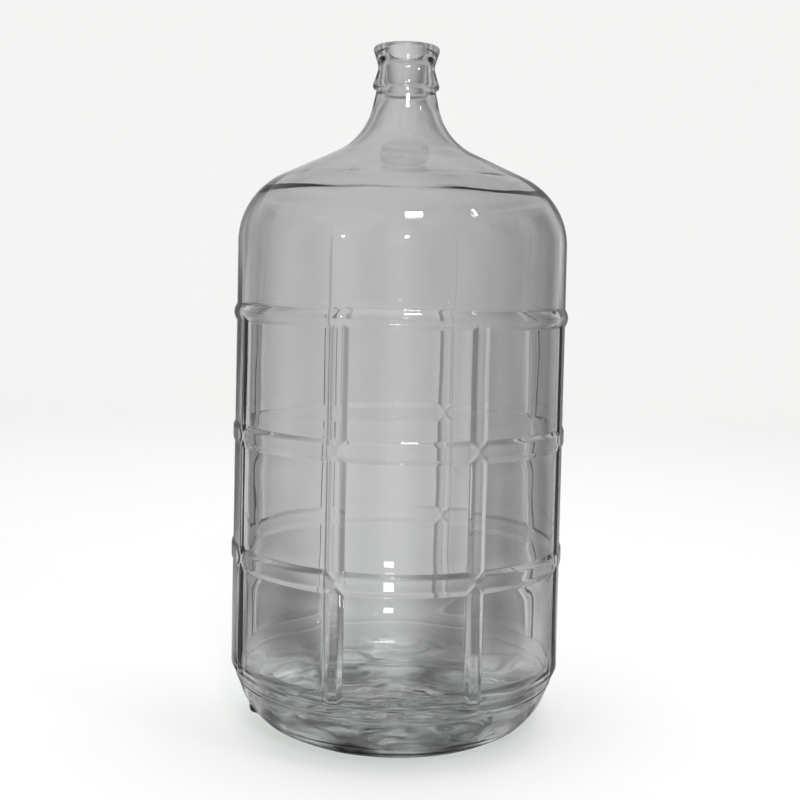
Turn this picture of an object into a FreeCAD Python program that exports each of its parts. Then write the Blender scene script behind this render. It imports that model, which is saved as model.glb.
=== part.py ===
"""Glass carboy: one bare, mould-blown glass vessel for fermenting wine and beer.

Millimetres, +Z up. The origin is the centre of the ring that the vessel stands on,
at the height of that ring. A carboy is a single piece of glass, so the document
holds a single body, whose features are the steps of its shape:

    outside   revolved: dome under the floor, heel, barrel, shoulder, cone, neck, collar, lip
    hoops     revolved: three raised rings round the barrel
    ribs      one upright rib padded up the barrel and repeated round it
    lug       a small stud on the heel, by which the bottle machine indexes the vessel
    cavity    grooved out of the solid: floor, barrel, shoulder, cone, throat and mouth bore
    mouth     the bore's upper edge, rounded over
"""

import FreeCAD
import Part
import Sketcher

import math
import os

NODE = "glass_carboy"

# Driving dimensions: alias, value, meaning. Lengths in millimetres, angles in degrees.
SIZES = [
    ("overall_height", 524.0, "base to the top of the lip"),
    ("barrel_radius", 127.0, "outside radius of the barrel between its ribs"),
    ("wall_thickness", 5.0, "glass thickness of heel, barrel, shoulder and cone"),
    ("floor_thickness", 7.0, "glass thickness of the floor on the axis"),
    ("push_up_height", 9.0, "rise of the dome under the floor"),
    ("land_inner_radius", 74.0, "inner radius of the flat ring the vessel stands on"),
    ("land_outer_radius", 78.0, "outer radius of that ring"),
    ("heel_arc_radius", 43.5, "round between that ring and the heel's bevel"),
    ("heel_bevel_angle", 69.0, "heel bevel above the horizontal"),
    ("heel_height", 44.0, "top of the bevel, where the barrel steps out"),
    ("heel_step_height", 4.5, "height over which the barrel steps out"),
    ("shoulder_start", 371.0, "height where the barrel starts to round into the shoulder"),
    ("shoulder_arc_radius", 57.0, "outside round of the shoulder"),
    ("cone_angle", 25.0, "slope of the cone above the horizontal"),
    ("flare_arc_radius", 50.8, "outside round between the cone and the neck"),
    ("neck_draft", 12.0, "taper of the neck from the vertical"),
    ("neck_radius", 22.9, "outside radius of the neck where it meets the collar"),
    ("collar_radius", 25.8, "largest radius of the collar"),
    ("collar_level", 493.0, "height of that largest radius"),
    ("collar_bead_radius", 3.0, "round of the collar's rim"),
    ("waist_slope", 17.5, "slope of the waist's two sides from the vertical"),
    ("waist_arc_radius", 11.0, "round of the waist between collar and lip"),
    ("lip_radius", 25.6, "largest radius of the lip"),
    ("lip_bead_radius", 3.2, "round of the lip's rim"),
    ("bore_radius", 15.75, "radius of the straight mouth bore"),
    ("bore_length", 34.0, "height of the bore up to the top of the lip"),
    ("bore_overrun", 5.0, "how far the boring cut runs on above the lip"),
    ("mouth_round", 2.5, "round of the bore's upper edge"),
    ("hoop_pitch", 91.0, "from the heel's top to the first hoop, and from hoop to hoop"),
    ("hoop_width", 15.0, "width of the two lower hoops"),
    ("hoop_height", 1.2, "how far the two lower hoops stand out of the barrel"),
    ("top_hoop_width", 13.0, "width of the top hoop"),
    ("top_hoop_height", 2.2, "how far the top hoop stands out"),
    ("rib_count", 8.0, "upright ribs round the barrel"),
    ("rib_width", 12.5, "width of an upright rib"),
    ("rib_height", 1.3, "how far an upright rib stands out of the barrel"),
    ("root_depth", 2.0, "how far hoops and ribs are rooted in the barrel's wall"),
    ("lug_radius", 5.3, "radius of the indexing lug"),
    ("lug_reach", 111.1, "distance of the lug's centre from the axis"),
    ("lug_level", 19.6, "height of the lug's centre"),
    ("lug_bearing", 198.5, "direction of the lug about the axis, from +X"),
]

HOOP_COUNT = 3
START, END, CENTRE = 1, 2, 3
ORIGIN_POINT = (-1, 1)
LEVEL_AXIS, UPRIGHT_AXIS = -1, -2
FULL_TURN = 360.0
TOLERANCE = 0.001
MM3_PER_LITRE = 1.0e6
GLASS_DENSITY = 2.5  # kilograms per litre


# ---------------------------------------------------------------- document and sheet

doc = FreeCAD.newDocument("GlassCarboy")
sheet = doc.addObject("Spreadsheet::Sheet", "Sizes")
for row, (alias, value, meaning) in enumerate(SIZES, start=1):
    sheet.set(f"A{row}", meaning)
    sheet.set(f"B{row}", str(value))
    sheet.setAlias(f"B{row}", alias)

body = doc.addObject("PartDesign::Body", "GlassBody")
body.Label = NODE
doc.recompute()


def size(alias):
    """A driving dimension, as the number that the sheet holds."""
    return float(sheet.get(alias))


def origin_feature(role):
    """One of the body's own origin planes or axes, found by its role."""
    return next(feature for feature in body.Origin.OriginFeatures if feature.Role == role)


def new_sketch(name, plane_role):
    """An empty sketch lying on one of the body's origin planes."""
    sketch = body.newObject("Sketcher::SketchObject", name)
    sketch.AttachmentSupport = [(origin_feature(plane_role), "")]
    sketch.MapMode = "FlatFace"
    return sketch


# ---------------------------------------------------------------- plane geometry


def vector(point):
    """A point of a sketch as FreeCAD's vector."""
    return FreeCAD.Vector(point[0], point[1], 0)


def direction(degrees):
    """The unit step at an angle above the sketch's level axis."""
    return (math.cos(math.radians(degrees)), math.sin(math.radians(degrees)))


def shifted(point, degrees, distance):
    """The point that lies a distance away from another, at an angle."""
    step = direction(degrees)
    return (point[0] + distance * step[0], point[1] + distance * step[1])


def circle_between(point_a, facing_a, point_b, facing_b, radius):
    """The centre of the circle that touches two lines, each given by a point and its normal's angle."""
    ax, ay = direction(facing_a)
    bx, by = direction(facing_b)
    reach_a = point_a[0] * ax + point_a[1] * ay + radius
    reach_b = point_b[0] * bx + point_b[1] * by + radius
    spread = ax * by - ay * bx
    return ((reach_a * by - reach_b * ay) / spread, (ax * reach_b - bx * reach_a) / spread)


class Outline:
    """A closed chain of lines and arcs in a sketch, whose sizes are bound to the sheet."""

    def __init__(self, sketch, start):
        self.sketch = sketch
        self.here = start
        self.edges = []

    def _append(self, geometry, entry, exit_, finish, smooth):
        index = self.sketch.addGeometry(geometry, False)
        if self.edges:
            last, _, last_exit = self.edges[-1]
            joint = "Tangent" if smooth else "Coincident"
            self.sketch.addConstraint(Sketcher.Constraint(joint, last, last_exit, index, entry))
        self.edges.append((index, entry, exit_))
        self.here = finish
        return index

    def line(self, finish, smooth=False):
        """A straight edge on to this point; smooth makes it run tangent out of the last edge."""
        segment = Part.LineSegment(vector(self.here), vector(finish))
        return self._append(segment, START, END, finish, smooth)

    def arc(self, centre, radius, first, last, smooth=False):
        """An arc from angle first to angle last, either way round."""
        circle = Part.Circle(vector(centre), FreeCAD.Vector(0, 0, 1), radius)
        low, high = sorted((first, last))
        curve = Part.ArcOfCircle(circle, math.radians(low), math.radians(high))
        entry, exit_ = (START, END) if first < last else (END, START)
        return self._append(curve, entry, exit_, shifted(centre, last, radius), smooth)

    def close(self):
        """Joins the last edge to the first."""
        last, _, last_exit = self.edges[-1]
        first, first_entry, _ = self.edges[0]
        self.sketch.addConstraint(Sketcher.Constraint("Coincident", last, last_exit, first, first_entry))

    def entry_of(self, edge):
        """The end by which the chain enters an edge."""
        return next(entry for index, entry, _ in self.edges if index == edge)


def bind(sketch, constraint, name, formula):
    """Adds a dimension to a sketch and binds it to a formula of the sheet's cells."""
    number = sketch.addConstraint(constraint)
    sketch.renameConstraint(number, name)
    sketch.setExpression(f"Constraints.{name}", formula)


def bind_reach(sketch, edge, end, value, name, formula):
    """Binds how far a point lies from the upright axis."""
    bind(sketch, Sketcher.Constraint("DistanceX", *ORIGIN_POINT, edge, end, value), name, formula)


def bind_level(sketch, edge, end, value, name, formula):
    """Binds how far a point lies above the origin."""
    bind(sketch, Sketcher.Constraint("DistanceY", *ORIGIN_POINT, edge, end, value), name, formula)


def bind_radius(sketch, edge, value, name, formula):
    """Binds an arc's radius."""
    bind(sketch, Sketcher.Constraint("Radius", edge, value), name, formula)


def bind_angle(sketch, edge, degrees, name, formula):
    """Binds a line's angle above the level axis."""
    bind(sketch, Sketcher.Constraint("Angle", edge, math.radians(degrees)), name, formula)


def on_axis(sketch, edge, end, axis):
    """Keeps a point on one of the sketch's axes."""
    sketch.addConstraint(Sketcher.Constraint("PointOnObject", edge, end, axis))


def dome_circle(rise, reach, foot):
    """Centre and radius of the arc that tops out on the axis and drops by rise over this reach."""
    radius = (rise**2 + reach**2) / (2 * rise)
    return (0.0, foot + rise - radius), radius


def crown_circle(rise, width, foot_reach):
    """Centre and radius of a rib's crown, which stands out by rise over a chord of this width."""
    radius = (rise**2 + width**2 / 4) / (2 * rise)
    return foot_reach + rise - radius, radius


def crown_formula(rise, width):
    """The same radius as a formula of the sheet's cells."""
    return f"({rise} ^ 2 + {width} ^ 2 / 4) / (2 * {rise})"


def tangent_angle(point, centre, radius):
    """The angle on a circle where the line from a point above and inside of it touches its near side."""
    away = math.atan2(point[1] - centre[1], point[0] - centre[0])
    spread = math.acos(radius / math.dist(point, centre))
    return math.degrees(away + spread) % FULL_TURN


# ---------------------------------------------------------------- features


def finish_feature(feature):
    """Makes a feature the body's tip and computes it."""
    body.Tip = feature
    doc.recompute()
    return feature


def turned(kind, name, sketch):
    """A full turn of a sketch about the vessel's axis: a Revolution or a Groove."""
    feature = body.newObject(f"PartDesign::{kind}", name)
    feature.Profile = sketch
    feature.ReferenceAxis = (sketch, ["V_Axis"])
    feature.Angle = FULL_TURN
    return finish_feature(feature)


def collar_centre():
    """The centre of the collar's rounded rim."""
    return (size("collar_radius") - size("collar_bead_radius"), size("collar_level"))


def neck_end():
    """Where the neck's outside runs into the underside of the collar."""
    centre, bead = collar_centre(), size("collar_bead_radius")
    return (size("neck_radius"), centre[1] - math.sqrt(bead**2 - (size("neck_radius") - centre[0]) ** 2))


def shoulder_centre():
    """The centre that the shoulder's outside and inside are rounded about."""
    return (size("barrel_radius") - size("shoulder_arc_radius"), size("shoulder_start"))


def flare_centre():
    """The centre that the flare between cone and neck is rounded about, outside the glass."""
    facing = 90 - size("cone_angle")
    cone_start = shifted(shoulder_centre(), facing, size("shoulder_arc_radius"))
    return circle_between(cone_start, facing, neck_end(), size("neck_draft"), size("flare_arc_radius"))


def make_outside():
    """The solid outside of the vessel, with no ribs on it yet."""
    sketch = new_sketch("OutsideProfile", "XZ_Plane")
    barrel, top = size("barrel_radius"), size("overall_height")
    land_in, land_out, rise = size("land_inner_radius"), size("land_outer_radius"), size("push_up_height")
    heel_arc, bevel, heel_top = size("heel_arc_radius"), size("heel_bevel_angle"), size("heel_height")
    shoulder_arc, shoulder_start = size("shoulder_arc_radius"), size("shoulder_start")
    cone, flare_arc, draft = size("cone_angle"), size("flare_arc_radius"), size("neck_draft")
    bead, lip_bead, waist_arc = size("collar_bead_radius"), size("lip_bead_radius"), size("waist_arc_radius")
    slope = size("waist_slope")

    dome, dome_radius = dome_circle(rise, land_in, 0.0)
    heel = (land_out, heel_arc)
    bevel_start = shifted(heel, bevel - 90, heel_arc)
    bevel_length = (heel_top - bevel_start[1]) / math.sin(math.radians(bevel))
    shoulder, flare, collar, neck_top = shoulder_centre(), flare_centre(), collar_centre(), neck_end()
    underside = math.degrees(math.atan2(neck_top[1] - collar[1], neck_top[0] - collar[0]))
    lip = (size("lip_radius") - lip_bead, top - lip_bead)
    waist_low, waist_high = shifted(collar, slope, bead), shifted(lip, -slope, lip_bead)
    waist = circle_between(waist_low, slope, waist_high, -slope, waist_arc)

    chain = Outline(sketch, (0.0, rise))
    edge = {}
    edge["dome"] = chain.arc(dome, dome_radius, 90, math.degrees(math.atan2(-dome[1], land_in)))
    edge["land"] = chain.line((land_out, 0.0))
    edge["heel"] = chain.arc(heel, heel_arc, -90, bevel - 90, smooth=True)
    edge["bevel"] = chain.line(shifted(bevel_start, bevel, bevel_length), smooth=True)
    edge["step"] = chain.line((barrel, heel_top + size("heel_step_height")))
    edge["barrel"] = chain.line((barrel, shoulder_start))
    edge["shoulder"] = chain.arc(shoulder, shoulder_arc, 0, 90 - cone, smooth=True)
    edge["cone"] = chain.line(shifted(flare, 270 - cone, flare_arc), smooth=True)
    edge["flare"] = chain.arc(flare, flare_arc, 270 - cone, 180 + draft, smooth=True)
    edge["neck"] = chain.line(neck_top, smooth=True)
    edge["collar"] = chain.arc(collar, bead, underside, slope)
    edge["waist_low"] = chain.line(shifted(waist, 180 + slope, waist_arc), smooth=True)
    edge["waist"] = chain.arc(waist, waist_arc, 180 + slope, 180 - slope, smooth=True)
    edge["waist_high"] = chain.line(waist_high, smooth=True)
    edge["lip"] = chain.arc(lip, lip_bead, -slope, 90, smooth=True)
    edge["rim"] = chain.line((0.0, top), smooth=True)
    edge["axis"] = chain.line((0.0, rise))
    chain.close()

    on_axis(sketch, edge["dome"], CENTRE, UPRIGHT_AXIS)
    on_axis(sketch, edge["axis"], START, UPRIGHT_AXIS)
    on_axis(sketch, edge["axis"], END, UPRIGHT_AXIS)
    on_axis(sketch, edge["land"], START, LEVEL_AXIS)
    on_axis(sketch, edge["land"], END, LEVEL_AXIS)
    sketch.addConstraint(Sketcher.Constraint("Vertical", edge["barrel"]))

    bind_level(sketch, edge["axis"], END, rise, "push_up", "Sizes.push_up_height")
    bind_reach(sketch, edge["land"], START, land_in, "land_inner", "Sizes.land_inner_radius")
    bind_reach(sketch, edge["land"], END, land_out, "land_outer", "Sizes.land_outer_radius")
    bind_radius(sketch, edge["heel"], heel_arc, "heel_arc", "Sizes.heel_arc_radius")
    bind_angle(sketch, edge["bevel"], bevel, "bevel_angle", "Sizes.heel_bevel_angle")
    bind_level(sketch, edge["bevel"], END, heel_top, "heel_top", "Sizes.heel_height")
    barrel_foot = "Sizes.heel_height + Sizes.heel_step_height"
    bind_level(sketch, edge["barrel"], START, heel_top, "barrel_foot", barrel_foot)
    bind_reach(sketch, edge["barrel"], START, barrel, "barrel", "Sizes.barrel_radius")
    bind_level(sketch, edge["barrel"], END, shoulder_start, "shoulder_start", "Sizes.shoulder_start")
    bind_radius(sketch, edge["shoulder"], shoulder_arc, "shoulder_arc", "Sizes.shoulder_arc_radius")
    bind_angle(sketch, edge["cone"], 180 - cone, "cone_angle", "180 - Sizes.cone_angle")
    bind_radius(sketch, edge["flare"], flare_arc, "flare_arc", "Sizes.flare_arc_radius")
    bind_angle(sketch, edge["neck"], 90 + draft, "neck_angle", "90 + Sizes.neck_draft")
    bind_reach(sketch, edge["neck"], END, neck_top[0], "neck", "Sizes.neck_radius")
    collar_reach = "Sizes.collar_radius - Sizes.collar_bead_radius"
    bind_reach(sketch, edge["collar"], CENTRE, collar[0], "collar", collar_reach)
    bind_level(sketch, edge["collar"], CENTRE, collar[1], "collar_level", "Sizes.collar_level")
    bind_radius(sketch, edge["collar"], bead, "collar_bead", "Sizes.collar_bead_radius")
    bind_angle(sketch, edge["waist_low"], 90 + slope, "waist_low_angle", "90 + Sizes.waist_slope")
    bind_radius(sketch, edge["waist"], waist_arc, "waist_arc", "Sizes.waist_arc_radius")
    bind_angle(sketch, edge["waist_high"], 90 - slope, "waist_high_angle", "90 - Sizes.waist_slope")
    bind_reach(sketch, edge["lip"], CENTRE, lip[0], "lip", "Sizes.lip_radius - Sizes.lip_bead_radius")
    bind_radius(sketch, edge["lip"], lip_bead, "lip_bead", "Sizes.lip_bead_radius")
    sketch.addConstraint(Sketcher.Constraint("Horizontal", edge["rim"]))
    bind_level(sketch, edge["axis"], START, top, "top", "Sizes.overall_height")
    flare_reach = Sketcher.Constraint("DistanceX", *ORIGIN_POINT, edge["flare"], CENTRE, flare[0])
    measured = sketch.addConstraint(flare_reach)
    sketch.renameConstraint(measured, "flare_centre")
    sketch.setDriving(measured, False)
    return turned("Revolution", "Outside", sketch)


def make_hoops():
    """Three raised rings; the top one is narrower and stands out further than the others."""
    sketch = new_sketch("HoopProfiles", "XZ_Plane")
    barrel, root = size("barrel_radius"), size("root_depth")
    for hoop in range(1, HOOP_COUNT + 1):
        kind = "top_hoop" if hoop == HOOP_COUNT else "hoop"
        width, height = size(f"{kind}_width"), size(f"{kind}_height")
        level = size("heel_height") + hoop * size("hoop_pitch")
        centre_reach, radius = crown_circle(height, width, barrel)
        half_angle = math.degrees(math.asin(width / 2 / radius))

        chain = Outline(sketch, (barrel, level - width / 2))
        crown = chain.arc((centre_reach, level), radius, -half_angle, half_angle)
        chain.line((barrel - root, level + width / 2))
        inside = chain.line((barrel - root, level - width / 2))
        floor = chain.line((barrel, level - width / 2))
        chain.close()

        low_formula = f"Sizes.heel_height + {hoop} * Sizes.hoop_pitch - Sizes.{kind}_width / 2"
        high_formula = f"Sizes.heel_height + {hoop} * Sizes.hoop_pitch + Sizes.{kind}_width / 2"
        root_formula = "Sizes.barrel_radius - Sizes.root_depth"
        sketch.addConstraint(Sketcher.Constraint("Vertical", inside))
        sketch.addConstraint(Sketcher.Constraint("Horizontal", floor))
        bind_reach(sketch, crown, START, barrel, f"foot_low_{hoop}", "Sizes.barrel_radius")
        bind_reach(sketch, crown, END, barrel, f"foot_high_{hoop}", "Sizes.barrel_radius")
        bind_level(sketch, crown, START, level - width / 2, f"low_{hoop}", low_formula)
        bind_level(sketch, crown, END, level + width / 2, f"high_{hoop}", high_formula)
        radius_formula = crown_formula(f"Sizes.{kind}_height", f"Sizes.{kind}_width")
        bind_radius(sketch, crown, radius, f"crown_{hoop}", radius_formula)
        bind_reach(sketch, inside, START, barrel - root, f"root_{hoop}", root_formula)
        bind_level(sketch, inside, START, level + width / 2, f"root_high_{hoop}", high_formula)
    return turned("Revolution", "Hoops", sketch)


def make_ribs():
    """One upright rib from the heel's top into the top hoop, repeated round the barrel."""
    sketch = new_sketch("RibSection", "XY_Plane")
    barrel, width, root = size("barrel_radius"), size("rib_width"), size("root_depth")
    foot = math.sqrt(barrel**2 - width**2 / 4)
    centre_reach, radius = crown_circle(barrel + size("rib_height") - foot, width, foot)
    half_angle = math.degrees(math.asin(width / 2 / radius))

    chain = Outline(sketch, (foot, -width / 2))
    crown = chain.arc((centre_reach, 0.0), radius, -half_angle, half_angle)
    chain.line((foot - root, width / 2))
    inside = chain.line((foot - root, -width / 2))
    side = chain.line((foot, -width / 2))
    chain.close()

    foot_formula = "sqrt(Sizes.barrel_radius ^ 2 - Sizes.rib_width ^ 2 / 4)"
    rise_formula = f"(Sizes.barrel_radius + Sizes.rib_height - {foot_formula})"
    sketch.addConstraint(Sketcher.Constraint("Vertical", inside))
    sketch.addConstraint(Sketcher.Constraint("Horizontal", side))
    bind_reach(sketch, crown, START, foot, "foot_near", foot_formula)
    bind_reach(sketch, crown, END, foot, "foot_far", foot_formula)
    near_side = Sketcher.Constraint("DistanceY", crown, START, *ORIGIN_POINT, width / 2)
    bind(sketch, near_side, "half_width_near", "Sizes.rib_width / 2")
    bind_level(sketch, crown, END, width / 2, "half_width_far", "Sizes.rib_width / 2")
    bind_radius(sketch, crown, radius, "crown", crown_formula(rise_formula, "Sizes.rib_width"))
    bind_reach(sketch, inside, START, foot - root, "root", f"{foot_formula} - Sizes.root_depth")
    bind_level(sketch, inside, START, width / 2, "root_side", "Sizes.rib_width / 2")
    sketch.AttachmentOffset = FreeCAD.Placement(
        FreeCAD.Vector(0, 0, size("heel_height") + size("heel_step_height")),
        FreeCAD.Rotation(FreeCAD.Vector(0, 0, 1), FULL_TURN / 2 / size("rib_count")),
    )
    sketch.setExpression("AttachmentOffset.Base.z", "Sizes.heel_height + Sizes.heel_step_height")
    sketch.setExpression("AttachmentOffset.Rotation.Angle", "180 deg / Sizes.rib_count")

    rib = body.newObject("PartDesign::Pad", "Rib")
    rib.Profile = sketch
    rib.Length = HOOP_COUNT * size("hoop_pitch") - size("heel_step_height")
    rib.setExpression("Length", f"{HOOP_COUNT} * Sizes.hoop_pitch - Sizes.heel_step_height")
    finish_feature(rib)

    ring = body.newObject("PartDesign::PolarPattern", "Ribs")
    ring.Originals = [rib]
    ring.Axis = (origin_feature("Z_Axis"), [""])
    ring.Angle = FULL_TURN
    ring.Occurrences = int(size("rib_count"))
    ring.setExpression("Occurrences", "Sizes.rib_count")
    return finish_feature(ring)


def make_lug():
    """The stud on the heel, half sunk in the glass."""
    lug = body.newObject("PartDesign::AdditiveSphere", "Lug")
    lug.AttachmentSupport = [(origin_feature("XY_Plane"), "")]
    lug.MapMode = "FlatFace"
    lug.setExpression("Radius", "Sizes.lug_radius")
    lug.setExpression("AttachmentOffset.Base.x", "Sizes.lug_reach * cos(Sizes.lug_bearing * 1 deg)")
    lug.setExpression("AttachmentOffset.Base.y", "Sizes.lug_reach * sin(Sizes.lug_bearing * 1 deg)")
    lug.setExpression("AttachmentOffset.Base.z", "Sizes.lug_level")
    return finish_feature(lug)


def make_cavity():
    """The inside: parallel to the outside by the wall's thickness, and open through the mouth."""
    sketch = new_sketch("CavityProfile", "XZ_Plane")
    wall, top = size("wall_thickness"), size("overall_height")
    barrel = size("barrel_radius") - wall
    heel_arc, bevel = size("heel_arc_radius") - wall, size("heel_bevel_angle")
    shoulder_arc, cone = size("shoulder_arc_radius") - wall, size("cone_angle")
    flare_arc, bore = size("flare_arc_radius") + wall, size("bore_radius")
    floor_top, heel_reach = size("push_up_height") + size("floor_thickness"), size("land_outer_radius")

    dome, dome_radius = dome_circle(floor_top - wall, heel_reach, wall)
    heel = (heel_reach, size("heel_arc_radius"))
    bevel_start = shifted(heel, bevel - 90, heel_arc)
    bevel_rise = (barrel - bevel_start[0]) * math.tan(math.radians(bevel))
    shoulder, flare = shoulder_centre(), flare_centre()
    throat_top = (bore, top - size("bore_length"))
    throat_foot_angle = tangent_angle(throat_top, flare, flare_arc)

    chain = Outline(sketch, (0.0, floor_top))
    edge = {}
    edge["floor"] = chain.arc(dome, dome_radius, 90, math.degrees(math.atan2(wall - dome[1], heel_reach)))
    edge["heel"] = chain.arc(heel, heel_arc, -90, bevel - 90)
    edge["bevel"] = chain.line((barrel, bevel_start[1] + bevel_rise), smooth=True)
    edge["barrel"] = chain.line((barrel, shoulder[1]))
    edge["shoulder"] = chain.arc(shoulder, shoulder_arc, 0, 90 - cone, smooth=True)
    edge["cone"] = chain.line(shifted(flare, 270 - cone, flare_arc), smooth=True)
    edge["flare"] = chain.arc(flare, flare_arc, 270 - cone, throat_foot_angle, smooth=True)
    edge["throat"] = chain.line(throat_top, smooth=True)
    edge["bore"] = chain.line((bore, top + size("bore_overrun")))
    edge["lid"] = chain.line((0.0, top + size("bore_overrun")))
    edge["axis"] = chain.line((0.0, floor_top))
    chain.close()

    on_axis(sketch, edge["floor"], CENTRE, UPRIGHT_AXIS)
    on_axis(sketch, edge["axis"], START, UPRIGHT_AXIS)
    on_axis(sketch, edge["axis"], END, UPRIGHT_AXIS)
    for upright in ("barrel", "bore"):
        sketch.addConstraint(Sketcher.Constraint("Vertical", edge[upright]))
    sketch.addConstraint(Sketcher.Constraint("Horizontal", edge["lid"]))

    wall_name = "Sizes.wall_thickness"
    floor_formula = "Sizes.push_up_height + Sizes.floor_thickness"
    bind_level(sketch, edge["axis"], END, floor_top, "floor_top", floor_formula)
    heel_entry = chain.entry_of(edge["heel"])
    bind_reach(sketch, edge["heel"], heel_entry, heel_reach, "heel_foot", "Sizes.land_outer_radius")
    bind_level(sketch, edge["heel"], heel_entry, wall, "heel_floor", wall_name)
    bind_reach(sketch, edge["heel"], CENTRE, heel[0], "heel_centre", "Sizes.land_outer_radius")
    bind_level(sketch, edge["heel"], CENTRE, heel[1], "heel_centre_level", "Sizes.heel_arc_radius")
    bind_angle(sketch, edge["bevel"], bevel, "bevel_angle", "Sizes.heel_bevel_angle")
    bind_reach(sketch, edge["barrel"], END, barrel, "barrel", f"Sizes.barrel_radius - {wall_name}")
    bind_level(sketch, edge["barrel"], END, shoulder[1], "shoulder_start", "Sizes.shoulder_start")
    shoulder_formula = f"Sizes.shoulder_arc_radius - {wall_name}"
    bind_radius(sketch, edge["shoulder"], shoulder_arc, "shoulder_arc", shoulder_formula)
    bind_angle(sketch, edge["cone"], 180 - cone, "cone_angle", "180 - Sizes.cone_angle")
    bind_radius(sketch, edge["flare"], flare_arc, "flare_arc", f"Sizes.flare_arc_radius + {wall_name}")
    outside_flare = "OutsideProfile.Constraints.flare_centre"
    bind_reach(sketch, edge["flare"], CENTRE, flare[0], "flare_centre", outside_flare)
    bind_reach(sketch, edge["bore"], START, bore, "bore", "Sizes.bore_radius")
    bore_foot = "Sizes.overall_height - Sizes.bore_length"
    bind_level(sketch, edge["bore"], START, throat_top[1], "bore_foot", bore_foot)
    bind_level(sketch, edge["bore"], END, top, "bore_end", "Sizes.overall_height + Sizes.bore_overrun")
    return turned("Groove", "Cavity", sketch)


def round_mouth():
    """Rounds over the upper edge of the bore."""
    cavity = body.Tip
    top, bore = size("overall_height"), size("bore_radius")
    names = []
    for number, edge in enumerate(cavity.Shape.Edges, start=1):
        if edge.Degenerated or not isinstance(edge.Curve, Part.Circle):
            continue
        level, radius = edge.Curve.Center.z, edge.Curve.Radius
        if abs(level - top) < TOLERANCE and abs(radius - bore) < TOLERANCE:
            names.append(f"Edge{number}")
    mouth = body.newObject("PartDesign::Fillet", "Mouth")
    mouth.Base = (cavity, names)
    mouth.Radius = size("mouth_round")
    mouth.setExpression("Radius", "Sizes.mouth_round")
    return finish_feature(mouth)


# ---------------------------------------------------------------- checks and files


def check_document():
    """Stops the script if any object failed, or if the vessel isn't one sound solid."""
    failed = [item.Name for item in doc.Objects if {"Invalid", "Error"} & set(item.State)]
    if failed:
        raise RuntimeError(f"features that failed: {failed}")
    shape = body.Shape
    if shape.isNull() or not shape.isValid() or len(shape.Solids) != 1:
        raise RuntimeError("the vessel isn't one valid solid")


def check_volumes(volumes):
    """Stops the script if a step that adds glass took some away, or the other way round."""
    adds = {"Outside": True, "Hoops": True, "Ribs": True, "Lug": True, "Cavity": False, "Mouth": False}
    before = 0.0
    for name, volume in volumes.items():
        if (volume > before) != adds[name]:
            raise RuntimeError(f"{name} changed the volume the wrong way")
        before = volume


volumes = {}
for step in (make_outside, make_hoops, make_ribs, make_lug, make_cavity, round_mouth):
    feature = step()
    volumes[feature.Name] = feature.Shape.Volume
check_document()
check_volumes(volumes)

os.makedirs("parts", exist_ok=True)
body.Shape.exportStep(os.path.join("parts", f"{body.Label}.step"))

glass_litres = body.Shape.Volume / MM3_PER_LITRE
held_litres = (volumes["Lug"] - volumes["Cavity"]) / MM3_PER_LITRE
box = body.Shape.optimalBoundingBox()
print(f"{body.Label}: {box.XLength:.1f} x {box.YLength:.1f} x {box.ZLength:.1f} mm")
print(f"glass {glass_litres:.3f} l, about {glass_litres * GLASS_DENSITY:.2f} kg")
print(f"holds {held_litres:.2f} l to the brim")
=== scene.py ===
"""Looks of the glass carboy: its one piece of glass as a fine smooth mesh, in a pale studio.

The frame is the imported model: metres, +Z up, the vessel's axis on Z, its foot at zero. The glass
is worked out here in millimetres and scaled to metres when its mesh is made.
"""

import math

import bpy
import numpy as np
from mathutils import Matrix, Vector, noise


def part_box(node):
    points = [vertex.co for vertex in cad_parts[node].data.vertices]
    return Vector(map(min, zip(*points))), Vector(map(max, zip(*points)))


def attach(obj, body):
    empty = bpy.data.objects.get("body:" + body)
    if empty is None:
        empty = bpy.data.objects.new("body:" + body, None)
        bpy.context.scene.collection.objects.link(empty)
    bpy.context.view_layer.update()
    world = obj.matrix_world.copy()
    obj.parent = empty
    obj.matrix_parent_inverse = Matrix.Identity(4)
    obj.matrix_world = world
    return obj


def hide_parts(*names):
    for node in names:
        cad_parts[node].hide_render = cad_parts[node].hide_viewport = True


NODE = "glass_carboy"
MM = 0.001

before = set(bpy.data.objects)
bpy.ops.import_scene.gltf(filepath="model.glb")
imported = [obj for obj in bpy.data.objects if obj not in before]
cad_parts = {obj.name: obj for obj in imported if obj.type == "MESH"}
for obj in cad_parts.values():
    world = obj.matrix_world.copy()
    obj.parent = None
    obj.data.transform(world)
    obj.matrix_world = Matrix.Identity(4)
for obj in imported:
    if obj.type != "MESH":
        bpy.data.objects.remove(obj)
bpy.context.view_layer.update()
lowest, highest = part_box(NODE)


# ---------------------------------------------------------------- the glass, in millimetres and degrees

TOP_HOOP_HEIGHT = 2.2
HEIGHT = (highest.z - lowest.z) / MM
BARREL_RADIUS = highest.x / MM - TOP_HOOP_HEIGHT
WALL = 5.0

LAND_INNER, LAND_OUTER, PUSH_UP, FLOOR_THICKNESS = 74.0, 78.0, 9.0, 7.0
HEEL_ARC, HEEL_BEVEL, HEEL_TOP, HEEL_STEP = 43.5, 69.0, 44.0, 4.5
SHOULDER_START, SHOULDER_ARC = 371.0, 57.0
CONE_ANGLE, FLARE_ARC = 25.0, 50.8
NECK_RADIUS, NECK_DRAFT = 22.9, 12.0
COLLAR_RADIUS, COLLAR_LEVEL, COLLAR_BEAD = 25.8, 493.0, 3.0
WAIST_SLOPE, WAIST_ARC = 17.5, 11.0
LIP_RADIUS, LIP_BEAD = 25.6, 3.2
BORE_RADIUS, BORE_LENGTH, MOUTH_ROUND = 15.75, 34.0, 2.5

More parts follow.
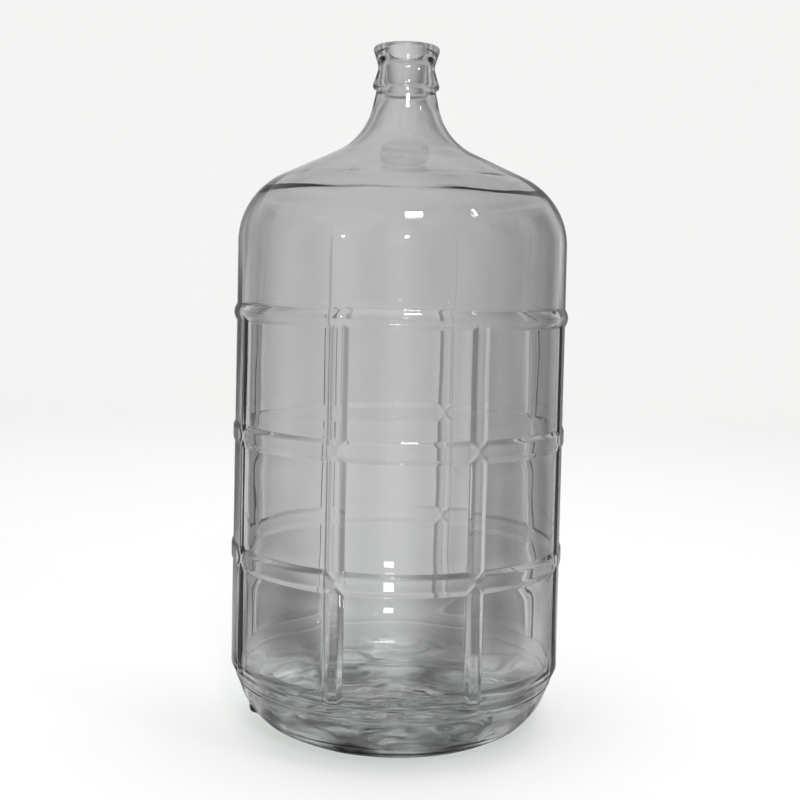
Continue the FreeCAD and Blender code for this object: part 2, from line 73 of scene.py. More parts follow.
# Bands: the ribs and the two lower hoops share one section, the top hoop is an arch of its own.
# FLANK_RUN caps how far past its foot a band is measured, in widths of its flank.
HOOP_COUNT, HOOP_PITCH, RIB_COUNT = 3, 91.0, 8
HOOP_WIDTH, TOP_HOOP_WIDTH, RIB_WIDTH = 15.4, 13.2, 12.7
BAND_HEIGHT, FLANK_WIDTH, FLANK_RUN = 1.25, 3.0, 3.0
FOOT_SOFTNESS, EDGE_SOFTNESS, TOP_HOOP_SOFTNESS = 0.06, 0.07, 0.02
GROOVE_DEPTH, GROOVE_WIDTH = 0.18, 0.5
CROSSING_BLEND, CROSSING_FILL, CROSSING_RISE = 5, 0.55, 2.5
TOP_HOOP_LEVEL = HEEL_TOP + HOOP_COUNT * HOOP_PITCH
RIB_PITCH = 360.0 / RIB_COUNT
FIRST_RIB = RIB_PITCH / 2
RIB_FOOT_FADE = (HEEL_TOP + HEEL_STEP - 1.0, HEEL_TOP + HEEL_STEP + 5.0)
RIB_TOP_FADE = (TOP_HOOP_LEVEL - 2.0, TOP_HOOP_LEVEL + 3.0)

# The mould's seams: bearing and height of each, and where they fade in and out.
SEAM_BEFORE_RIB = 3.7
SEAMS = {FIRST_RIB + 5 * RIB_PITCH - SEAM_BEFORE_RIB: 0.35, FIRST_RIB + RIB_PITCH - SEAM_BEFORE_RIB: 0.1}
SEAM_WIDTH, SEAM_LOSS = 0.8, 0.9
SEAM_FOOT_FADE, SEAM_TOP_FADE = (HEEL_TOP, HEEL_TOP + 20), (364, 380)
PARTING_LEVELS, PARTING_HEIGHT, PARTING_WIDTH = (38.5, 9.0), 0.3, 0.8

LUG_RADIUS, LUG_REACH, LUG_LEVEL, LUG_BEARING = 5.3, 111.1, 19.6, 198.5
LUG_DEPTH, LUG_CAP_POWER = 2.65, 1.5
CREASE_REACH, CREASE_HEIGHT, CREASE_SLOPE = 108.0, 0.8, 1.8
INNER_PRINT = 0.15  # how much of the bands' relief shows inside, as hollows

# Unevenness of the glass: height, the size over which it changes, and the seed that sets its pattern.
SWAY = (0.3, 38, 71.0)
OUTSIDE_WAVES, NECK_WAVES = (0.12, 60, 3.0), (0.09, 8, 91.0)
INSIDE_SLOW, INSIDE_QUICK = (0.75, 75, 11.0), (0.22, 24, 29.0)
FLOOR_WIDE, FLOOR_FINE, UNDERSIDE_WAVES = (1.7, 24, 47.0), (1.2, 11, 53.0), (0.45, 20, 61.0)
CREASE_WAVES = (1.2, 30, 83.0)
SLOW_STRETCH, QUICK_STRETCH = (1, 1, 0.6), (1, 1, 0.45)

# Levels and reaches between which that unevenness fades.
BARREL_FADE, NECK_FADE, NECK_LOSS = (20, 60), (425, 470), 0.75
NECK_WAVES_START, NECK_WAVES_END = (425, 445), (485, 490)
FLOOR_FADE, FLOOR_EDGE_FADE, FLOOR_EDGE_LOSS = (14, 44), (72, 92), 0.5
LAND_FADE, CREASE_FADE = (4, 14), (425, 460)

# Where the mesh carries its points: distances each side of the middle of a band, a seam or the lug, the
# finer stretches of the heel's round and bevel that hold the parting rings, and the widest steps.
HOOP_STATIONS = (0.0, 1.7, 3.3, 4.4, 5.0, 6.2, 7.4, 7.8, 8.3, 9.2)
RIB_STATIONS = (0.0, 1.5, 3.0, 3.7, 4.9, 6.0, 6.4, 6.9, 7.8)
TOP_HOOP_STATIONS = (0.0, 1.6, 3.2, 4.6, 5.8, 6.6, 7.3, 8.4)
INNER_STATION_STRIDE = 4
SEAM_STATIONS = (-1.6, -1.0, -0.5, 0.0, 0.5, 1.0, 1.6)
LUG_STATIONS = tuple(1.4 * number for number in range(-4, 5))
FINE_ROUND, FINE_BEVEL = (-58, -48), (36.8, 40.2)
UNDER_TOP_HOOP = 16.0
PANEL_STEP, BARREL_STEP, TOP_STEP = 8.5, 10.0, 8.0
LEAST_GAP = 0.35
STEP_CORNER_CUT, STEP_TOP_CUT, STEP_TOP_RUN = 2.0, 0.1, 0.5


# ---------------------------------------------------------------- the studio, in metres, degrees and watts

CAMERA_DISTANCE, CAMERA_HEIGHT, CAMERA_ASIDE = 0.9436, 0.347, 3.4
CAMERA_PITCH, CAMERA_ROLL = 2.21, 1.25
LENS, SENSOR_WIDTH, SHIFT, FAR_CLIP = 54.4, 36.0, (-0.00125, -0.0975), 50.0
BOUNCES = 24

WORLD = 0.55
PALE = (0.86, 0.86, 0.855)
# Painted shade and painted light on the backdrop, seen only by sharp rays in or through the glass.
SHADE_WAVES, THROUGH_SHADE, AROUND_SHADE, NEAR_SHADE = 8, 0.66, 0.23, 0.6
SHADE_REACH, PAINTED_PATCH_REACH = (0.08, 0.45), (0.10, 0.22)
PAINTED_PATCH_STRENGTH, PAINTED_PATCH_MIDDLE = 5.0, 0.45
FLOOR_RADIUS, WALL_RADIUS, WALL_HEIGHT = 2.0, 3.2, 1.8
FLOOR_RINGS, CURVE_STEPS, BOWL_COLUMNS = 4, 24, 96

# Softboxes: name, place, target, size and power. Glint lamps all face one target.
SOFTBOXES = (
    ("overhead softbox", (0, 0.2, 3.2), (0, 0.2, 0), (3.0, 3.0), 46),
    ("backdrop wash", (0, 0.8, 2.6), (0, 3.2, 0.6), (2.6, 0.8), 10),
)
GLINT_LAMPS = (
    ("key lamp", (0.13, -1.67, 1.65), (0.36, 0.22), 14),
    ("right lamp", (1.30, -1.01, 1.66), (0.06, 0.26), 3),
    ("left lamp", (-1.29, -1.42, 0.56), (0.045, 0.045), 0.4),
    ("front lamp", (-0.02, -1.42, 0.53), (0.06, 0.05), 0.7),
)
LOW_LAMP_PLACE, LOW_LAMP_SIZE, LOW_LAMP_POWER = (-0.056, -0.447, 0.042), (0.044, 0.031), 0.06
GLINT_TARGET = (0, 0, 0.35)


# ---------------------------------------------------------------- plane geometry of the outline


def direction(degrees):
    """The unit step at an angle above the level, in the plane of the outline."""
    return np.array([math.cos(math.radians(degrees)), math.sin(math.radians(degrees))])


def circle_between(point_a, facing_a, point_b, facing_b, radius):
    """The centre of the circle that touches two lines, each given by a point and its normal's angle."""
    normals = np.array([direction(facing_a), direction(facing_b)])
    reaches = np.array([normals[0] @ point_a + radius, normals[1] @ point_b + radius])
    return np.linalg.solve(normals, reaches)


class Outline:
    """Points of (reach, height) along the glass: from under the floor, over the lip, and down inside."""

    def __init__(self, start):
        self.points = [np.array(start, float)]

    def line(self, finish, step):
        """On to this point in a straight run, with a point about every step."""
        start, finish = self.points[-1], np.array(finish, float)
        count = max(1, round(float(np.linalg.norm(finish - start)) / step))
        for number in range(1, count + 1):
            self.points.append(start + (finish - start) * number / count)

    def arc(self, centre, radius, first, last, step):
        """Along an arc from angle first to angle last, in degrees, with a point about every step."""
        length = abs(math.radians(last - first)) * radius
        count = max(2, round(length / step))
        for number in range(1, count + 1):
            turned = direction(first + (last - first) * number / count)
            self.points.append(np.array(centre) + radius * turned)

    def levels(self, heights):
        """Straight up or down through these heights, at the last point's reach."""
        for height in heights:
            self.points.append(np.array([self.points[-1][0], height]))


def spaced(first, last, step, centres, stations):
    """Values from first to last about a step apart, with exact stations each side of the centres."""
    offsets = [side * station for station in stations for side in (-1, 1)]
    marks = sorted({centre + offset for centre in centres for offset in offsets})
    ends = [first] + [mark for mark in marks if first < mark < last] + [last]
    values = []
    for start, finish in zip(ends, ends[1:]):
        count = max(1, round((finish - start) / step))
        values += [start + (finish - start) * number / count for number in range(1, count + 1)]
    return values


def dome_arc(top, foot_reach, foot_level):
    """The centre and radius of the arc that crosses the axis at top and ends at its foot."""
    rise = top - foot_level
    radius = (rise**2 + foot_reach**2) / (2 * rise)
    return np.array([0.0, top - radius]), radius


def tangent_angle(point, centre, radius):
    """Where a line from a point touches a circle's near side, as an angle round the circle."""
    away = math.atan2(point[1] - centre[1], point[0] - centre[0])
    return math.degrees(away + math.acos(radius / math.dist(point, centre))) % 360


def glass_outline():
    """The outline, and how many of its points lie on the outside. Steps are short where the glass bends."""
    shoulder = np.array([BARREL_RADIUS - SHOULDER_ARC, SHOULDER_START])
    heel = np.array([LAND_OUTER, HEEL_ARC])
    collar = np.array([COLLAR_RADIUS - COLLAR_BEAD, COLLAR_LEVEL])
    lip = np.array([LIP_RADIUS - LIP_BEAD, HEIGHT - LIP_BEAD])
    under_collar = math.sqrt(COLLAR_BEAD**2 - (NECK_RADIUS - collar[0]) ** 2)
    neck_top = np.array([NECK_RADIUS, COLLAR_LEVEL - under_collar])
    facing = 90 - CONE_ANGLE
    cone_start = shoulder + SHOULDER_ARC * direction(facing)
    flare = circle_between(cone_start, facing, neck_top, NECK_DRAFT, FLARE_ARC)
    waist_low = collar + COLLAR_BEAD * direction(WAIST_SLOPE)
    waist_high = lip + LIP_BEAD * direction(-WAIST_SLOPE)
    waist = circle_between(waist_low, WAIST_SLOPE, waist_high, -WAIST_SLOPE, WAIST_ARC)
    underside = math.degrees(math.atan2(*(neck_top - collar)[::-1]))
    hoops = [HEEL_TOP + number * HOOP_PITCH for number in range(1, HOOP_COUNT + 1)]
    bevel = direction(HEEL_BEVEL)
    bevel_start = heel + HEEL_ARC * direction(HEEL_BEVEL - 90)

    def on_bevel(level):
        """The point of the heel's bevel at this level."""
        return bevel_start + bevel * (level - bevel_start[1]) / bevel[1]

    path = Outline((0.0, PUSH_UP))
    centre, radius = dome_arc(PUSH_UP, LAND_INNER, 0.0)
    path.arc(centre, radius, 90, math.degrees(math.atan2(-centre[1], LAND_INNER)), step=4.0)
    path.line((LAND_OUTER, 0.0), step=1.4)
    path.arc(heel, HEEL_ARC, -90, FINE_ROUND[0], step=1.9)
    path.arc(heel, HEEL_ARC, *FINE_ROUND, step=0.6)
    path.arc(heel, HEEL_ARC, FINE_ROUND[1], HEEL_BEVEL - 90, step=1.9)
    path.line(on_bevel(FINE_BEVEL[0]), step=2.2)
    path.line(on_bevel(FINE_BEVEL[1]), step=0.5)
    bevel_end, step_end = on_bevel(HEEL_TOP), np.array([BARREL_RADIUS, HEEL_TOP + HEEL_STEP])
    path.line(bevel_end - STEP_CORNER_CUT * bevel, step=1.8)
    path.line(step_end - (step_end - bevel_end) * STEP_TOP_CUT, step=1.3)
    path.line(step_end, step=0.5)
    path.line(step_end + (0, STEP_TOP_RUN), step=0.5)
    under_top_hoop = TOP_HOOP_LEVEL - UNDER_TOP_HOOP
    path.levels(spaced(step_end[1] + STEP_TOP_RUN, under_top_hoop, BARREL_STEP, hoops[:-1], HOOP_STATIONS))
    path.levels(spaced(under_top_hoop, SHOULDER_START, TOP_STEP, hoops[-1:], TOP_HOOP_STATIONS))
    path.arc(shoulder, SHOULDER_ARC, 0, facing, step=3.2)
    path.line(flare + FLARE_ARC * direction(180 + facing), step=5.0)
    path.arc(flare, FLARE_ARC, 180 + facing, 180 + NECK_DRAFT, step=2.2)
    path.line(neck_top, step=1.8)
    path.arc(collar, COLLAR_BEAD, underside, WAIST_SLOPE, step=0.7)
    path.line(waist + WAIST_ARC * direction(180 + WAIST_SLOPE), step=1.4)
    path.arc(waist, WAIST_ARC, 180 + WAIST_SLOPE, 180 - WAIST_SLOPE, step=1.0)
    path.line(waist_high, step=1.4)
    path.arc(lip, LIP_BEAD, -WAIST_SLOPE, 90, step=0.7)
    path.line((BORE_RADIUS + MOUTH_ROUND, HEIGHT), step=1.3)
    outside_count = len(path.points)

    throat_top = np.array([BORE_RADIUS, HEIGHT - BORE_LENGTH])
    inner_flare = FLARE_ARC + WALL
    throat_foot = tangent_angle(throat_top, flare, inner_flare)
    inner_barrel, inner_heel = BARREL_RADIUS - WALL, HEEL_ARC - WALL
    inner_bevel = heel + inner_heel * direction(HEEL_BEVEL - 90)
    barrel_foot = inner_bevel[1] + (inner_barrel - inner_bevel[0]) * math.tan(math.radians(HEEL_BEVEL))
    inner_stations = HOOP_STATIONS[::INNER_STATION_STRIDE]
    path.arc((BORE_RADIUS + MOUTH_ROUND, HEIGHT - MOUTH_ROUND), MOUTH_ROUND, 90, 180, step=0.5)
    path.line(throat_top, step=6.0)
    path.line(flare + inner_flare * direction(throat_foot), step=2.0)
    path.arc(flare, inner_flare, throat_foot, 180 + facing, step=3.5)
    path.line(shoulder + (SHOULDER_ARC - WALL) * direction(facing), step=5.0)
    path.arc(shoulder, SHOULDER_ARC - WALL, facing, 0, step=2.2)
    inner_levels = spaced(barrel_foot, SHOULDER_START, TOP_STEP, hoops, inner_stations)
    path.levels(inner_levels[-2::-1] + [barrel_foot])
    path.line(inner_bevel, step=2.5)
    path.arc(heel, inner_heel, HEEL_BEVEL - 90, -90, step=3.2)
    centre, radius = dome_arc(PUSH_UP + FLOOR_THICKNESS, LAND_OUTER, WALL)
    path.arc(centre, radius, math.degrees(math.atan2(WALL - centre[1], LAND_OUTER)), 90, step=3.0)
    return np.array(path.points), outside_count


def outline_normals(points):
    """Unit normals of the outline that point out of the glass; straight down and up on the axis."""
    steps = np.gradient(points, axis=0)
    normals = np.column_stack([steps[:, 1], -steps[:, 0]])
    normals /= np.linalg.norm(normals, axis=1, keepdims=True)
    normals[0], normals[-1] = (0.0, -1.0), (0.0, 1.0)
    return normals


# ---------------------------------------------------------------- relief on the glass, in millimetres


def column_bearings():
    """The directions round the axis, in degrees, that carry a column of points: close together on ribs,
    seams and the lug, wider apart between."""
    per_mm = 360.0 / (2 * math.pi * BARREL_RADIUS)
    ribs = [FIRST_RIB + RIB_PITCH * number for number in range(RIB_COUNT)]
    stations = [station * per_mm for station in RIB_STATIONS]
    bearings = spaced(0.0, 360.0, PANEL_STEP * per_mm, ribs, stations)
    close = [seam + offset * per_mm for seam in SEAMS for offset in SEAM_STATIONS]
    close += [LUG_BEARING + offset * per_mm for offset in LUG_STATIONS]
    gap = LEAST_GAP * per_mm
    kept = [bearing for bearing in bearings if min(abs(bearing - other) for other in close) > gap]
    return np.array(sorted(kept + close))


def soft_floor(value, softness):
    """The larger of value and 0, with the corner rounded off."""
    return (value + np.sqrt(value**2 + softness**2)) / 2


def smooth_step(value, first, last):
    """0 up to first, 1 from last on, and a smooth rise between."""
    share = np.clip((value - first) / (last - first), 0.0, 1.0)
    return share * share * (3 - 2 * share)


def arc_length(bearing, origin):
    """How far round the barrel a bearing lies from another, the nearer way, in millimetres."""
    return ((bearing - origin + 180) % 360 - 180) * math.radians(1) * BARREL_RADIUS


def band_share(past_foot):
    """The section of a raised band as a share of its height, by how far its foot lies behind."""
    rise = soft_floor(np.minimum(past_foot / FLANK_WIDTH, FLANK_RUN), FOOT_SOFTNESS)
    return np.clip(1 - soft_floor(1 - rise, EDGE_SOFTNESS), 0, 1)


def rib_relief(bearing, level):
    """How far the upright ribs and the hoops stand out. Where two cross, their edges run on into the
    middle of the crossing as shallow valleys; a fine groove runs along their feet."""
    nearest_rib = (bearing - FIRST_RIB + RIB_PITCH / 2) % RIB_PITCH - RIB_PITCH / 2
    beside = np.abs(nearest_rib * math.radians(1) * BARREL_RADIUS) - RIB_WIDTH / 2
    above = np.full_like(level, np.inf)
    for number in range(1, HOOP_COUNT):
        above = np.minimum(above, np.abs(level - HEEL_TOP - number * HOOP_PITCH) - HOOP_WIDTH / 2)
    into_panel = np.maximum(np.minimum(beside, above), 0)
    into_crossing = np.maximum(-np.maximum(beside, above), 0)
    past_foot = np.abs(np.minimum(beside, 0) - np.minimum(above, 0)) - into_panel
    filled = CROSSING_FILL * smooth_step(into_crossing, 0.0, CROSSING_RISE)
    ends = smooth_step(level, *RIB_FOOT_FADE) * (1 - smooth_step(level, *RIB_TOP_FADE))
    bands = BAND_HEIGHT * (filled + (1 - filled) * band_share(past_foot)) * ends
    into_groove = (into_panel - GROOVE_WIDTH) / GROOVE_WIDTH
    groove = GROOVE_DEPTH * np.exp(-(into_groove**2)) * (past_foot < 0) * ends
    across_top_hoop = (level - TOP_HOOP_LEVEL) / (TOP_HOOP_WIDTH / 2)
    top_hoop = TOP_HOOP_HEIGHT * soft_floor(1 - across_top_hoop**2, TOP_HOOP_SOFTNESS)
    raised = (bands**CROSSING_BLEND + top_hoop**CROSSING_BLEND) ** (1 / CROSSING_BLEND)
    return raised - groove * (np.abs(across_top_hoop) > 1)


def seam_relief(bearing, level):
    """The fine raised lines where the two halves of the mould met; they fade out on the shoulder."""
    relief = np.zeros_like(level)
    for seam, height in SEAMS.items():
        relief += height * np.exp(-((arc_length(bearing, seam) / SEAM_WIDTH) ** 2))
    return relief * smooth_step(level, *SEAM_FOOT_FADE) * (1 - SEAM_LOSS * smooth_step(level, *SEAM_TOP_FADE))


def lug_relief(places):
    """The stud on the heel: how far its soft cap stands out over the points near it."""
    centre = np.array([*(LUG_REACH * direction(LUG_BEARING)), LUG_LEVEL])
    aside = np.sum((places - centre) ** 2, axis=-1) - LUG_DEPTH**2
    return (LUG_RADIUS - LUG_DEPTH) * np.clip(1 - aside / LUG_RADIUS**2, 0.0, 1.0) ** LUG_CAP_POWER


def wander(places, height, size, seed):
    """Smooth wandering values up to about this height either way, that change over this size."""
    flat = places.reshape(-1, 3) / size + seed
    return height * np.array([noise.noise(Vector(place)) for place in flat]).reshape(places.shape[:-1])


def crease_relief(places, reach, level):
    """The step where the wall thickens from the shoulder to the cone, inside; the neck is plain."""
    edge = CREASE_REACH - reach + wander(places, *CREASE_WAVES)
    step = smooth_step(edge, -CREASE_SLOPE, CREASE_SLOPE)
    return CREASE_HEIGHT * step * (1 - smooth_step(level, *CREASE_FADE)) * (level > SHOULDER_START)


def parting_relief(level):
    """The fine raised rings where the mould's bottom plate met its sides."""
    rings = [np.exp(-(((level - ring) / PARTING_WIDTH) ** 2)) for ring in PARTING_LEVELS]
    return PARTING_HEIGHT * sum(rings)


def glass_rows():
    """Places of every point of the glass, as rows along the outline by columns round the axis."""
    outline, outside_count = glass_outline()
    normals = outline_normals(outline)
    bearings = column_bearings()
    around = np.stack([np.cos(np.radians(bearings)), np.sin(np.radians(bearings))], axis=-1)

    def spread(values):
        """Outline values (reach, height) turned round the axis into (x, y, z)."""
        heights = np.repeat(values[:, 1, None], len(bearings), axis=1)
        flat = values[:, 0, None, None] * around[None, :, :]
        return np.concatenate([flat, heights[..., None]], axis=-1)

    places, facings = spread(outline), spread(normals)
    reach = np.hypot(places[..., 0], places[..., 1])
    level = places[..., 2]
    bearing = np.broadcast_to(bearings, level.shape)
    is_outside = (np.arange(len(outline)) < outside_count)[:, None]

    sway = wander(places, *SWAY)
    bands = rib_relief(bearing + np.degrees(sway / BARREL_RADIUS), level + sway)
    bands *= reach > BARREL_RADIUS - 2 * WALL
    on_barrel = smooth_step(level, *BARREL_FADE) * (1 - NECK_LOSS * smooth_step(level, *NECK_FADE))
    off_land = smooth_step(np.abs(reach - (LAND_INNER + LAND_OUTER) / 2), *LAND_FADE)
    on_floor = 1 - smooth_step(level, *FLOOR_FADE)
    on_floor *= 1 - FLOOR_EDGE_LOSS * smooth_step(reach, *FLOOR_EDGE_FADE)
    on_neck = smooth_step(level, *NECK_WAVES_START) * (1 - smooth_step(level, *NECK_WAVES_END))

    outside = bands + seam_relief(bearing, level) * (reach > COLLAR_RADIUS)
    outside += lug_relief(places) * (reach > LAND_OUTER) * (level < HEEL_TOP)
    outside += parting_relief(level)
    outside += wander(places, *OUTSIDE_WAVES) * on_barrel
    outside += wander(places, *NECK_WAVES) * on_neck
    outside += wander(places, *UNDERSIDE_WAVES) * on_floor * off_land * (reach < LAND_OUTER)

    inside = wander(places * SLOW_STRETCH, *INSIDE_SLOW) * on_barrel
    inside += wander(places * QUICK_STRETCH, *INSIDE_QUICK) * on_barrel
    inside += crease_relief(places, reach, level) - INNER_PRINT * bands
    inside += (wander(places, *FLOOR_WIDE) + wander(places, *FLOOR_FINE)) * on_floor
    return places + facings * np.where(is_outside, outside, inside)[..., None]


def glass_mesh():
    """The whole vessel as one closed smooth mesh, with a single point where it meets the axis."""
    rows = glass_rows() * MM
    middle = rows[1:-1]
    points = np.concatenate([rows[0].mean(0)[None], middle.reshape(-1, 3), rows[-1].mean(0)[None]])
    grid = 1 + np.arange(middle.shape[0] * middle.shape[1]).reshape(middle.shape[:2])
    beside = np.roll(grid, -1, axis=1)
    quads = np.stack([grid[:-1], beside[:-1], beside[1:], grid[1:]], axis=-1).reshape(-1, 4)
    foot = [(0, int(b), int(a)) for a, b in zip(grid[0], beside[0])]
    top = [(len(points) - 1, int(a), int(b)) for a, b in zip(grid[-1], beside[-1])]
    mesh = bpy.data.meshes.new(NODE)
    mesh.from_pydata(points.tolist(), [], quads.tolist() + foot + top)
    mesh.shade_smooth()
    mesh.validate()
    return mesh


# ---------------------------------------------------------------- materials


def new_material(name):
    """A new material with its tree, its surface shader and its output."""
    material = bpy.data.materials.new(name)
    material.use_nodes = True
    nodes = material.node_tree.nodes
    return material, nodes["Principled BSDF"], nodes["Material Output"]


def add_node(material, kind, place, **values):
    """A new shader node of this kind, with these inputs set by name."""
    node = material.node_tree.nodes.new(kind)
    node.location = place
    for name, value in values.items():
        node.inputs[name.replace("_", " ")].default_value = value
    return node


def add_math(material, operation, place, values):
    """A new math node; values are its constants, None where a link will come."""
    kind = "ShaderNodeVectorMath" if operation == "LENGTH" else "ShaderNodeMath"
    node = add_node(material, kind, place)
    node.operation = operation
    for number, value in enumerate(values):
        if value is not None:
            node.inputs[number].default_value = value
    return node


def add_range(material, place, span, first, last):
    """A new node that maps this span of values onto the run from first to last."""
    ends = {"From_Min": span[0], "From_Max": span[1], "To_Min": first, "To_Max": last}
    return add_node(material, "ShaderNodeMapRange", place, **ends)


def glass_material():
    """Clear, faintly green-grey bottle glass with a soft ripple, whose shadow is light, as glass's is."""
    material, body, output = new_material("clear bottle glass")
    links = material.node_tree.links
    body.inputs["Base Color"].default_value = (0.90, 0.905, 0.90, 1)
    body.inputs["Roughness"].default_value = 0.0
    body.inputs["IOR"].default_value = 1.52
    body.inputs["Transmission Weight"].default_value = 1.0

    places = add_node(material, "ShaderNodeTexCoord", (-900, -200))
    stretch = add_node(material, "ShaderNodeMapping", (-700, -200), Scale=(1, 1, 0.5))
    waves = add_node(material, "ShaderNodeTexNoise", (-500, -200), Scale=38.0, Detail=2.0, Roughness=0.45)
    bump = add_node(material, "ShaderNodeBump", (-250, -200), Strength=0.10, Distance=0.001)
    links.new(places.outputs["Object"], stretch.inputs["Vector"])
    links.new(stretch.outputs["Vector"], waves.inputs["Vector"])
    links.new(waves.outputs["Fac"], bump.inputs["Height"])
    links.new(bump.outputs["Normal"], body.inputs["Normal"])

    passing = add_node(material, "ShaderNodeBsdfTransparent", (0, -250), Color=(0.84, 0.86, 0.85, 1))
    rays = add_node(material, "ShaderNodeLightPath", (0, 300))
    blend = add_node(material, "ShaderNodeMixShader", (250, 0))
    links.new(rays.outputs["Is Shadow Ray"], blend.inputs["Fac"])
    links.new(body.outputs["BSDF"], blend.inputs[1])
    links.new(passing.outputs["BSDF"], blend.inputs[2])
    links.new(blend.outputs["Shader"], output.inputs["Surface"])

    colour = (0.30, 0.335, 0.31, 1)
    tint = add_node(material, "ShaderNodeVolumeAbsorption", (250, -250), Color=colour, Density=13.0)
    links.new(tint.outputs["Volume"], output.inputs["Volume"])
    return material


def backdrop_material():
    """Pale studio paint. What sharp rays see of it, in the glass or through it, is greyer, with painted shade
    and painted light, so that the ribs and hoops have something to bend: painted shade, lighter far away than
    near the foot and lighter and darker by turns round the axis, and painted light and shade, blotchy close
    by."""
    material, paint, _ = new_material("pale backdrop with painted shade")
    links = material.node_tree.links
    paint.inputs["Roughness"].default_value = 0.9
    paint.inputs["Specular IOR Level"].default_value = 0.1

    places = add_node(material, "ShaderNodeTexCoord", (-1500, 0))
    # Painted shade: darker and lighter by turns round the axis.
    bearing = add_node(material, "ShaderNodeTexGradient", (-1250, 200))
    bearing.gradient_type = "RADIAL"
    turns = add_math(material, "MULTIPLY", (-1050, 200), (None, SHADE_WAVES * math.tau))
    wave = add_math(material, "COSINE", (-850, 200), (None,))
    around = add_range(material, (-650, 200), (-1, 1), AROUND_SHADE, THROUGH_SHADE)
    links.new(places.outputs["Object"], bearing.inputs["Vector"])
    links.new(bearing.outputs["Fac"], turns.inputs[0])
    links.new(turns.outputs["Value"], wave.inputs[0])
    links.new(wave.outputs["Value"], around.inputs["Value"])

    # Painted shade: darker near the foot than far away.
    distance = add_math(material, "LENGTH", (-1250, -150), ())
    painted_near_shade = add_range(material, (-650, -150), SHADE_REACH, NEAR_SHADE, 1)
    both = add_math(material, "MULTIPLY", (-400, 0), (None, None))
    links.new(places.outputs["Object"], distance.inputs["Vector"])
    links.new(distance.outputs["Value"], painted_near_shade.inputs["Value"])
    links.new(around.outputs["Result"], both.inputs[0])
    links.new(painted_near_shade.outputs["Result"], both.inputs[1])

    # Painted light and shade: noisy blotches close to the foot, fading with distance.
    nearness = add_range(material, (-900, -400), PAINTED_PATCH_REACH, 1, 0)
    painted_patch_noise = add_node(material, "ShaderNodeTexNoise", (-1250, -600), Scale=22.0, Detail=2.0, Distortion=1.5)
    centred = add_math(material, "SUBTRACT", (-1050, -600), (None, PAINTED_PATCH_MIDDLE))
    strong = add_math(material, "MULTIPLY", (-850, -600), (None, PAINTED_PATCH_STRENGTH))
    fading = add_math(material, "MULTIPLY", (-650, -500), (None, None))
    painted_patch_factor = add_math(material, "ADD", (-500, -400), (None, 1.0))
    links.new(distance.outputs["Value"], nearness.inputs["Value"])
    links.new(places.outputs["Object"], painted_patch_noise.inputs["Vector"])
    links.new(painted_patch_noise.outputs["Fac"], centred.inputs[0])
    links.new(centred.outputs["Value"], strong.inputs[0])
    links.new(strong.outputs["Value"], fading.inputs[0])
    links.new(nearness.outputs["Result"], fading.inputs[1])
    links.new(fading.outputs["Value"], painted_patch_factor.inputs[0])

    shade = add_math(material, "MULTIPLY", (-250, 0), (None, None))
    # Sharp rays, in the glass or through it, see the painted shade and light; all other rays see the plain
    # pale paint.
    through = add_node(material, "ShaderNodeLightPath", (-650, 600))
    colour = add_node(material, "ShaderNodeMix", (-100, 0))
    colour.data_type = "RGBA"
    colour.inputs["A"].default_value = (*PALE, 1)
    links.new(both.outputs["Value"], shade.inputs[0])
    links.new(painted_patch_factor.outputs["Value"], shade.inputs[1])
    links.new(through.outputs["Is Singular Ray"], colour.inputs["Factor"])
    links.new(shade.outputs["Value"], colour.inputs["B"])
    links.new(colour.outputs["Result"], paint.inputs["Base Color"])
    return material


# ---------------------------------------------------------------- the studio


def bowl_mesh():
    """A round floor that curves up into a wall all round: a surface of revolution."""
    rise = WALL_RADIUS - FLOOR_RADIUS
    outline = [(FLOOR_RADIUS * ring / FLOOR_RINGS, 0.0) for ring in range(1, FLOOR_RINGS + 1)]
    for step in range(1, CURVE_STEPS + 1):
        angle = math.radians(90 * step / CURVE_STEPS)
        outline.append((FLOOR_RADIUS + rise * math.sin(angle), rise * (1 - math.cos(angle))))
    outline.append((WALL_RADIUS, WALL_HEIGHT))
    points = [(0.0, 0.0, 0.0)]
    for reach, level in outline:
        for number in range(BOWL_COLUMNS):
            angle = math.tau * number / BOWL_COLUMNS
            points.append((reach * math.cos(angle), reach * math.sin(angle), level))
    faces = [(0, 1 + number, 1 + (number + 1) % BOWL_COLUMNS) for number in range(BOWL_COLUMNS)]
    for row in range(len(outline) - 1):
        first = 1 + row * BOWL_COLUMNS
        for number in range(BOWL_COLUMNS):
            here, there = first + number, first + (number + 1) % BOWL_COLUMNS
            faces.append((here, here + BOWL_COLUMNS, there + BOWL_COLUMNS, there))
    mesh = bpy.data.meshes.new("backdrop")
    mesh.from_pydata(points, [], faces)
    mesh.shade_smooth()
    return mesh


def add_object(name, data):
    """A new object with this data, in the scene."""
    thing = bpy.data.objects.new(name, data)
    bpy.context.scene.collection.objects.link(thing)
    return thing


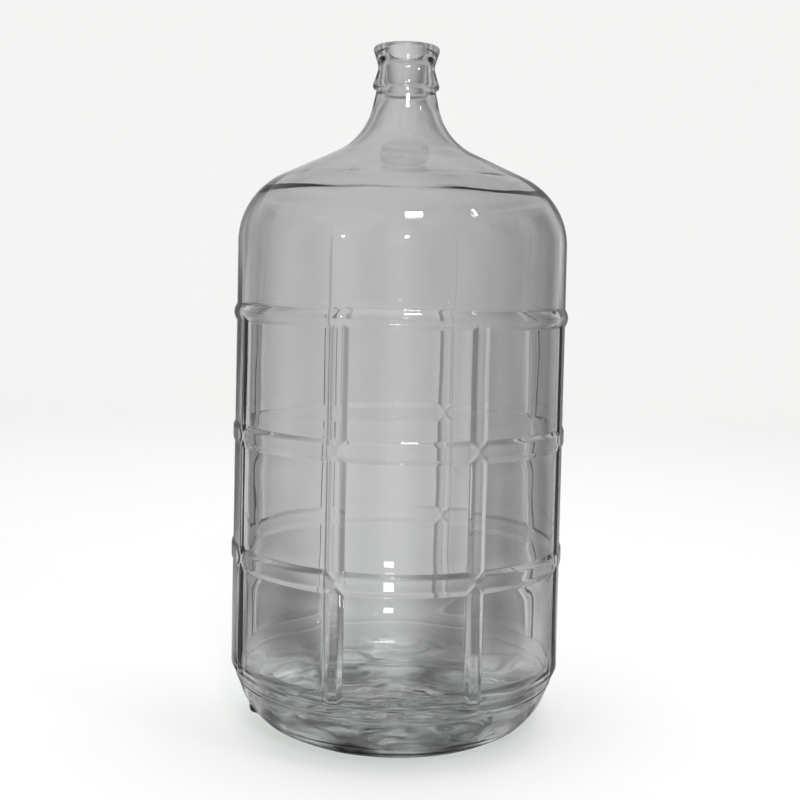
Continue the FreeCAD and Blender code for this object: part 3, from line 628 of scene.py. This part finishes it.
def add_lamp(name, place, target, size, power):
    """An area lamp of (width, height) metres that faces its target and isn't seen by the camera itself."""
    lamp = bpy.data.lights.new(name, "AREA")
    lamp.shape = "RECTANGLE"
    lamp.size, lamp.size_y = size
    lamp.energy = power
    holder = add_object(name, lamp)
    holder.location = place
    holder.rotation_euler = (Vector(target) - Vector(place)).to_track_quat("-Z", "Y").to_euler()
    holder.visible_camera = False
    return holder


def build_studio():
    """Backdrop, world light, softboxes that the glass doesn't mirror, and small lamps that glint in it."""
    backdrop = add_object("backdrop", bowl_mesh())
    backdrop.data.materials.append(backdrop_material())
    world = bpy.data.worlds.new("studio")
    world.use_nodes = True
    world.node_tree.nodes["Background"].inputs["Color"].default_value = (1, 1, 1, 1)
    world.node_tree.nodes["Background"].inputs["Strength"].default_value = WORLD
    bpy.context.scene.world = world
    for name, place, target, size, power in SOFTBOXES:
        softbox = add_lamp(name, place, target, size, power)
        softbox.visible_glossy = softbox.visible_transmission = False
    for name, place, size, power in GLINT_LAMPS:
        add_lamp(name, place, GLINT_TARGET, size, power)
    low_lamp = add_lamp("low lamp", LOW_LAMP_PLACE, GLINT_TARGET, LOW_LAMP_SIZE, LOW_LAMP_POWER)
    low_lamp.visible_transmission = False


def place_camera():
    """The camera, standing before the object and a little to its left, held with a slight roll."""
    data = bpy.data.cameras.new("camera")
    data.sensor_width = SENSOR_WIDTH
    data.lens = LENS
    data.shift_x, data.shift_y = SHIFT
    data.clip_end = FAR_CLIP
    camera = add_object("camera", data)
    aside = math.radians(CAMERA_ASIDE)
    away = Vector((-math.sin(aside), -math.cos(aside), 0)) * CAMERA_DISTANCE
    turn = Matrix.Rotation(-aside, 4, "Z")
    turn = turn @ Matrix.Rotation(math.radians(90 - CAMERA_PITCH), 4, "X")
    turn = turn @ Matrix.Rotation(math.radians(CAMERA_ROLL), 4, "Z")
    camera.matrix_world = Matrix.Translation(away + Vector((0, 0, CAMERA_HEIGHT))) @ turn
    bpy.context.scene.camera = camera


# ---------------------------------------------------------------- the scene

glass = add_object("glass", glass_mesh())
glass.data.materials.append(glass_material())
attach(glass, "root")
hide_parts(NODE)

build_studio()
place_camera()

settings = bpy.context.scene
settings.view_settings.view_transform = "Standard"
settings.cycles.max_bounces = BOUNCES
settings.cycles.transmission_bounces = BOUNCES
